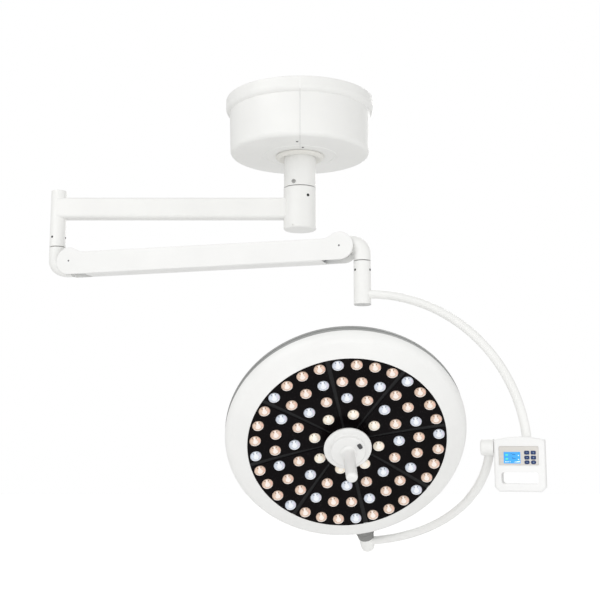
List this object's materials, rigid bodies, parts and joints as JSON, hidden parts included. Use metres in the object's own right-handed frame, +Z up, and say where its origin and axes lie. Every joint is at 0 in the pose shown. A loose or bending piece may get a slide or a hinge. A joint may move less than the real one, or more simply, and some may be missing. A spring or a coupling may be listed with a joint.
{
  "type": "surgical light",
  "caption": "Ceiling-mounted surgical light: LED dome with a sterile handle on a curved yoke, carried by a swivelling arm and a spring-balanced parallel arm.",
  "frame": {"origin": "on the down tube's axis, at the ceiling plate's upper face", "axes": "+Z up, +X along the horizontal arm from its end tube to the hub, +Y away from the side that the dome faces"},
  "size_m": [1.4639, 0.6906, 1.4334],
  "materials": {
    "steel": "machined",
    "dark_steel": "machined",
    "black_steel": "blackened",
    "bearing_steel": "ground",
    "spring_steel": "oiled",
    "enamel": "semi-gloss white enamel",
    "enamel_aluminium": "semi-gloss white enamel on spun aluminium",
    "collar_plastic": "smooth",
    "bush_plastic": "plain",
    "cover_plastic": "semi-gloss",
    "grey_plastic": "fine grain",
    "box_plastic": "fine grain",
    "stainless": "brushed",
    "lcd_glass": "glossy",
    "board": "solder mask",
    "key_navy": "satin",
    "boot_rubber": "matt",
    "band_grey": "satin",
    "frame_grey": "satin",
    "panel_black": "high gloss",
    "lens_clear": "clear moulded",
    "hub_white": "semi-gloss",
    "handle_plastic": "satin",
    "lock_grey": "satin"
  },
  "bodies": {
    "ceiling": {"ceiling_plate": "steel", "down_tube": "enamel", "flange_bolts": "steel", "canopy_left": "enamel", "canopy_right": "enamel", "canopy_screws": "dark_steel", "canopy_collar": "collar_plastic", "spindle": "steel", "spindle_lock_screws": "steel"},
    "horizontal_arm": {"hub_housing": "enamel", "hub_bottom_cap": "enamel", "hub_bearings": "bearing_steel", "arm_beam": "enamel", "end_tube": "enamel", "end_tube_bushes": "bush_plastic", "arm_brake_screws": "black_steel"},
    "left_elbow": {"left_knuckle": "enamel"},
    "spring_arm": {"arm_frame": "steel", "arm_cover_front": "cover_plastic", "arm_cover_rear": "cover_plastic", "cover_screws": "dark_steel", "pivot_pins": "dark_steel", "balance_spring": "spring_steel", "spring_rod": "steel"},
    "parallel_rod": {"leveling_link": "steel"},
    "right_elbow": {"right_knuckle": "enamel"},
    "yoke": {"carrier_tube": "enamel", "carrier_end_cap": "grey_plastic", "carrier_bushes": "bush_plastic", "carrier_brake_screws": "black_steel", "upper_yoke_tube": "enamel", "control_box_front": "box_plastic", "control_box_rear": "box_plastic", "box_bracket": "steel", "pitch_shaft": "steel", "control_bezel": "stainless", "lcd_display": "lcd_glass", "control_board": "board"},
    "lower_yoke": {"pitch_sleeve": "enamel", "lower_yoke_tube": "enamel", "lower_joint_cup": "enamel", "head_bush": "bush_plastic"},
    "lamp_head": {"joint_boot": "boot_rubber", "head_shaft": "steel", "rear_shell": "enamel_aluminium", "edge_band": "band_grey", "bezel_ring": "enamel_aluminium", "panel_frame": "frame_grey", "panel_sectors": "panel_black", "lens_array": "lens_clear", "led_board": "board", "hub_base": "hub_white"},
    "sterile_handle": {"handle": "handle_plastic"},
    "handle_lock": {"lock_button": "lock_grey"},
    "key_1": {"button_1": "key_navy"},
    "key_2": {"button_2": "key_navy"},
    "key_3": {"button_3": "key_navy"},
    "key_4": {"button_4": "key_navy"},
    "key_5": {"button_5": "key_navy"},
    "key_6": {"button_6": "key_navy"}
  },
  "joints": [
    {"name": "arm_swivel", "type": "hinge", "parent": "ceiling", "child": "horizontal_arm", "pos_m": [0, 0, -0.35], "axis": [0, 0, 1], "range_deg": [-175, 175]},
    {"name": "spring_arm_swivel", "type": "hinge", "parent": "horizontal_arm", "child": "left_elbow", "pos_m": [-0.775, 0, -0.45], "axis": [0, 0, 1], "continuous": true},
    {"name": "spring_arm_pitch", "type": "hinge", "parent": "left_elbow", "child": "spring_arm", "pos_m": [-0.7173, -0.01644, -0.536], "axis": [-0.274, -0.9617, 0], "range_deg": [-45, 20]},
    {"name": "link_pitch", "type": "hinge", "parent": "left_elbow", "child": "parallel_rod", "pos_m": [-0.7173, -0.01644, -0.556], "axis": [-0.274, -0.9617, 0], "range_deg": [-45, 20]},
    {"name": "carrier_level", "type": "hinge", "parent": "spring_arm", "child": "right_elbow", "pos_m": [0.1223, -0.2556, -0.536], "axis": [-0.274, -0.9617, 0], "range_deg": [-20, 45]},
    {"name": "yoke_swivel", "type": "hinge", "parent": "right_elbow", "child": "yoke", "pos_m": [0.18097, -0.27231, -0.64], "axis": [0, 0, 1], "continuous": true},
    {"name": "yoke_pitch", "type": "hinge", "parent": "yoke", "child": "lower_yoke", "pos_m": [0.51108, -0.37957, -1.116], "axis": [0.9511, -0.309, 0], "range_deg": [-60, 80]},
    {"name": "head_turn", "type": "hinge", "parent": "lower_yoke", "child": "lamp_head", "pos_m": [0.20632, 0.02091, -1.40158], "axis": [0.1834, 0.5644, -0.8049], "range_deg": [-90, 90]},
    {"name": "handle_pull", "type": "slide", "parent": "lamp_head", "child": "sterile_handle", "axis": [0.0402, -0.8224, -0.5675], "range_m": [0, 0.05]},
    {"name": "lock_press", "type": "slide", "parent": "lamp_head", "child": "handle_lock", "axis": [-0.0402, 0.8224, 0.5675], "range_m": [0, 0.002], "stiffness_N_per_m": 400},
    {"name": "key_press_1", "type": "slide", "parent": "yoke", "child": "key_1", "axis": [0.309, 0.9511, 0], "range_m": [0, 0.0012], "stiffness_N_per_m": 400},
    {"name": "key_press_2", "type": "slide", "parent": "yoke", "child": "key_2", "axis": [0.309, 0.9511, 0], "range_m": [0, 0.0012], "stiffness_N_per_m": 400},
    {"name": "key_press_3", "type": "slide", "parent": "yoke", "child": "key_3", "axis": [0.309, 0.9511, 0], "range_m": [0, 0.0012], "stiffness_N_per_m": 400},
    {"name": "key_press_4", "type": "slide", "parent": "yoke", "child": "key_4", "axis": [0.309, 0.9511, 0], "range_m": [0, 0.0012], "stiffness_N_per_m": 400},
    {"name": "key_press_5", "type": "slide", "parent": "yoke", "child": "key_5", "axis": [0.309, 0.9511, 0], "range_m": [0, 0.0012], "stiffness_N_per_m": 400},
    {"name": "key_press_6", "type": "slide", "parent": "yoke", "child": "key_6", "axis": [0.309, 0.9511, 0], "range_m": [0, 0.0012], "stiffness_N_per_m": 400}
  ],
  "couplings": [
    {"joint": "carrier_level", "follows": "spring_arm_pitch", "ratio": -1},
    {"joint": "link_pitch", "follows": "spring_arm_pitch", "ratio": 1}
  ]
}
